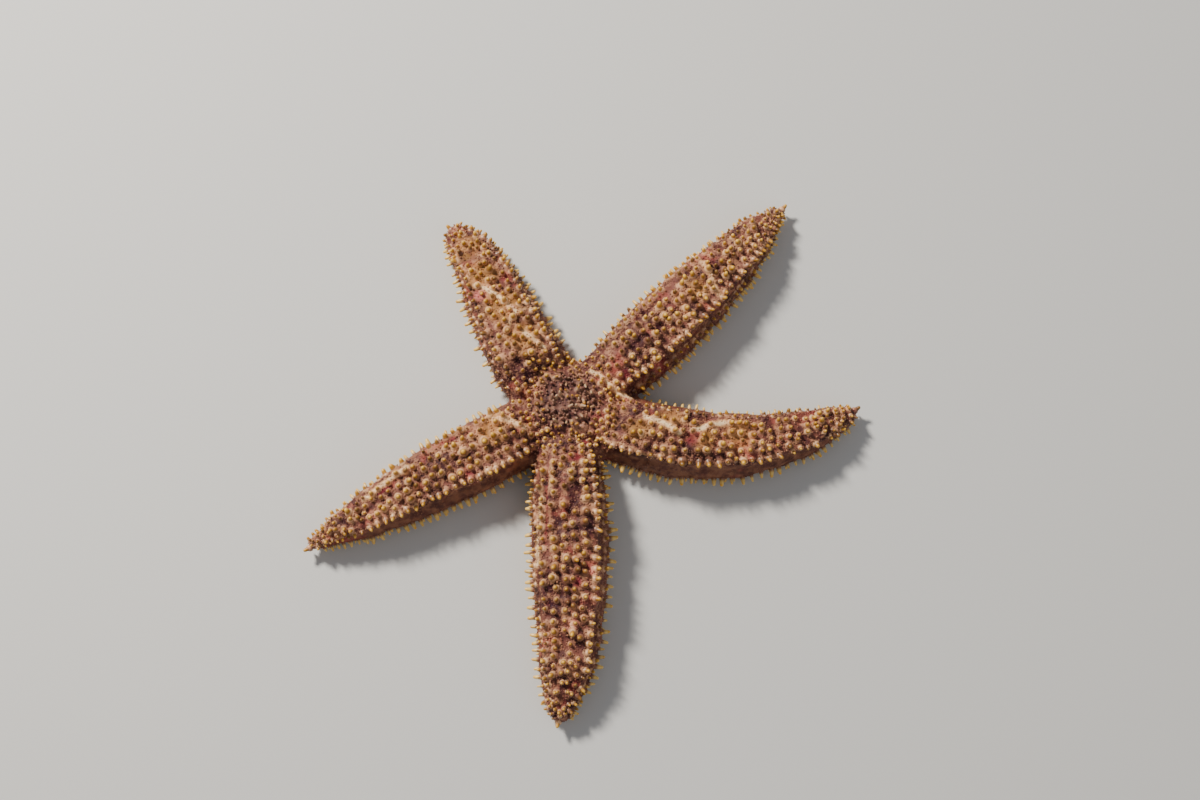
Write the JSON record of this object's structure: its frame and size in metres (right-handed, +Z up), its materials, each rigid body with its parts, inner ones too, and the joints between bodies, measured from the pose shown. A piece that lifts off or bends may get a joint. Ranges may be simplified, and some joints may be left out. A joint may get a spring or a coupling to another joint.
{
  "type": "starfish",
  "caption": "Life-size still model of a mottled sea star lying on a flat surface, with a small disc, long spiny arms and tube feet in grooves underneath.",
  "frame": {"origin": "on the floor under the middle of the whole animal's bounding box", "axes": "+Z up; +X to the right and +Y away from the viewer as the picture looks down on the animal"},
  "size_m": [0.2659, 0.2572, 0.0298],
  "materials": {
    "skin": "damp, mottled beige, brown and dull pink, with pale bulbs and yellow-ochre spine tips",
    "madreporite": "matte, finely grooved",
    "mouth": "soft and damp"
  },
  "bodies": {
    "root": {"disc": "skin", "arm_upper_left_base": "skin", "arm_upper_left_middle": "skin", "arm_upper_left_tip": "skin", "arm_upper_right_base": "skin", "arm_upper_right_middle": "skin", "arm_upper_right_tip": "skin", "arm_right_base": "skin", "arm_right_middle": "skin", "arm_right_tip": "skin", "arm_lower_base": "skin", "arm_lower_middle": "skin", "arm_lower_tip": "skin", "arm_left_base": "skin", "arm_left_middle": "skin", "arm_left_tip": "skin", "mouth": "mouth", "madreporite": "madreporite"}
  },
  "joints": []
}
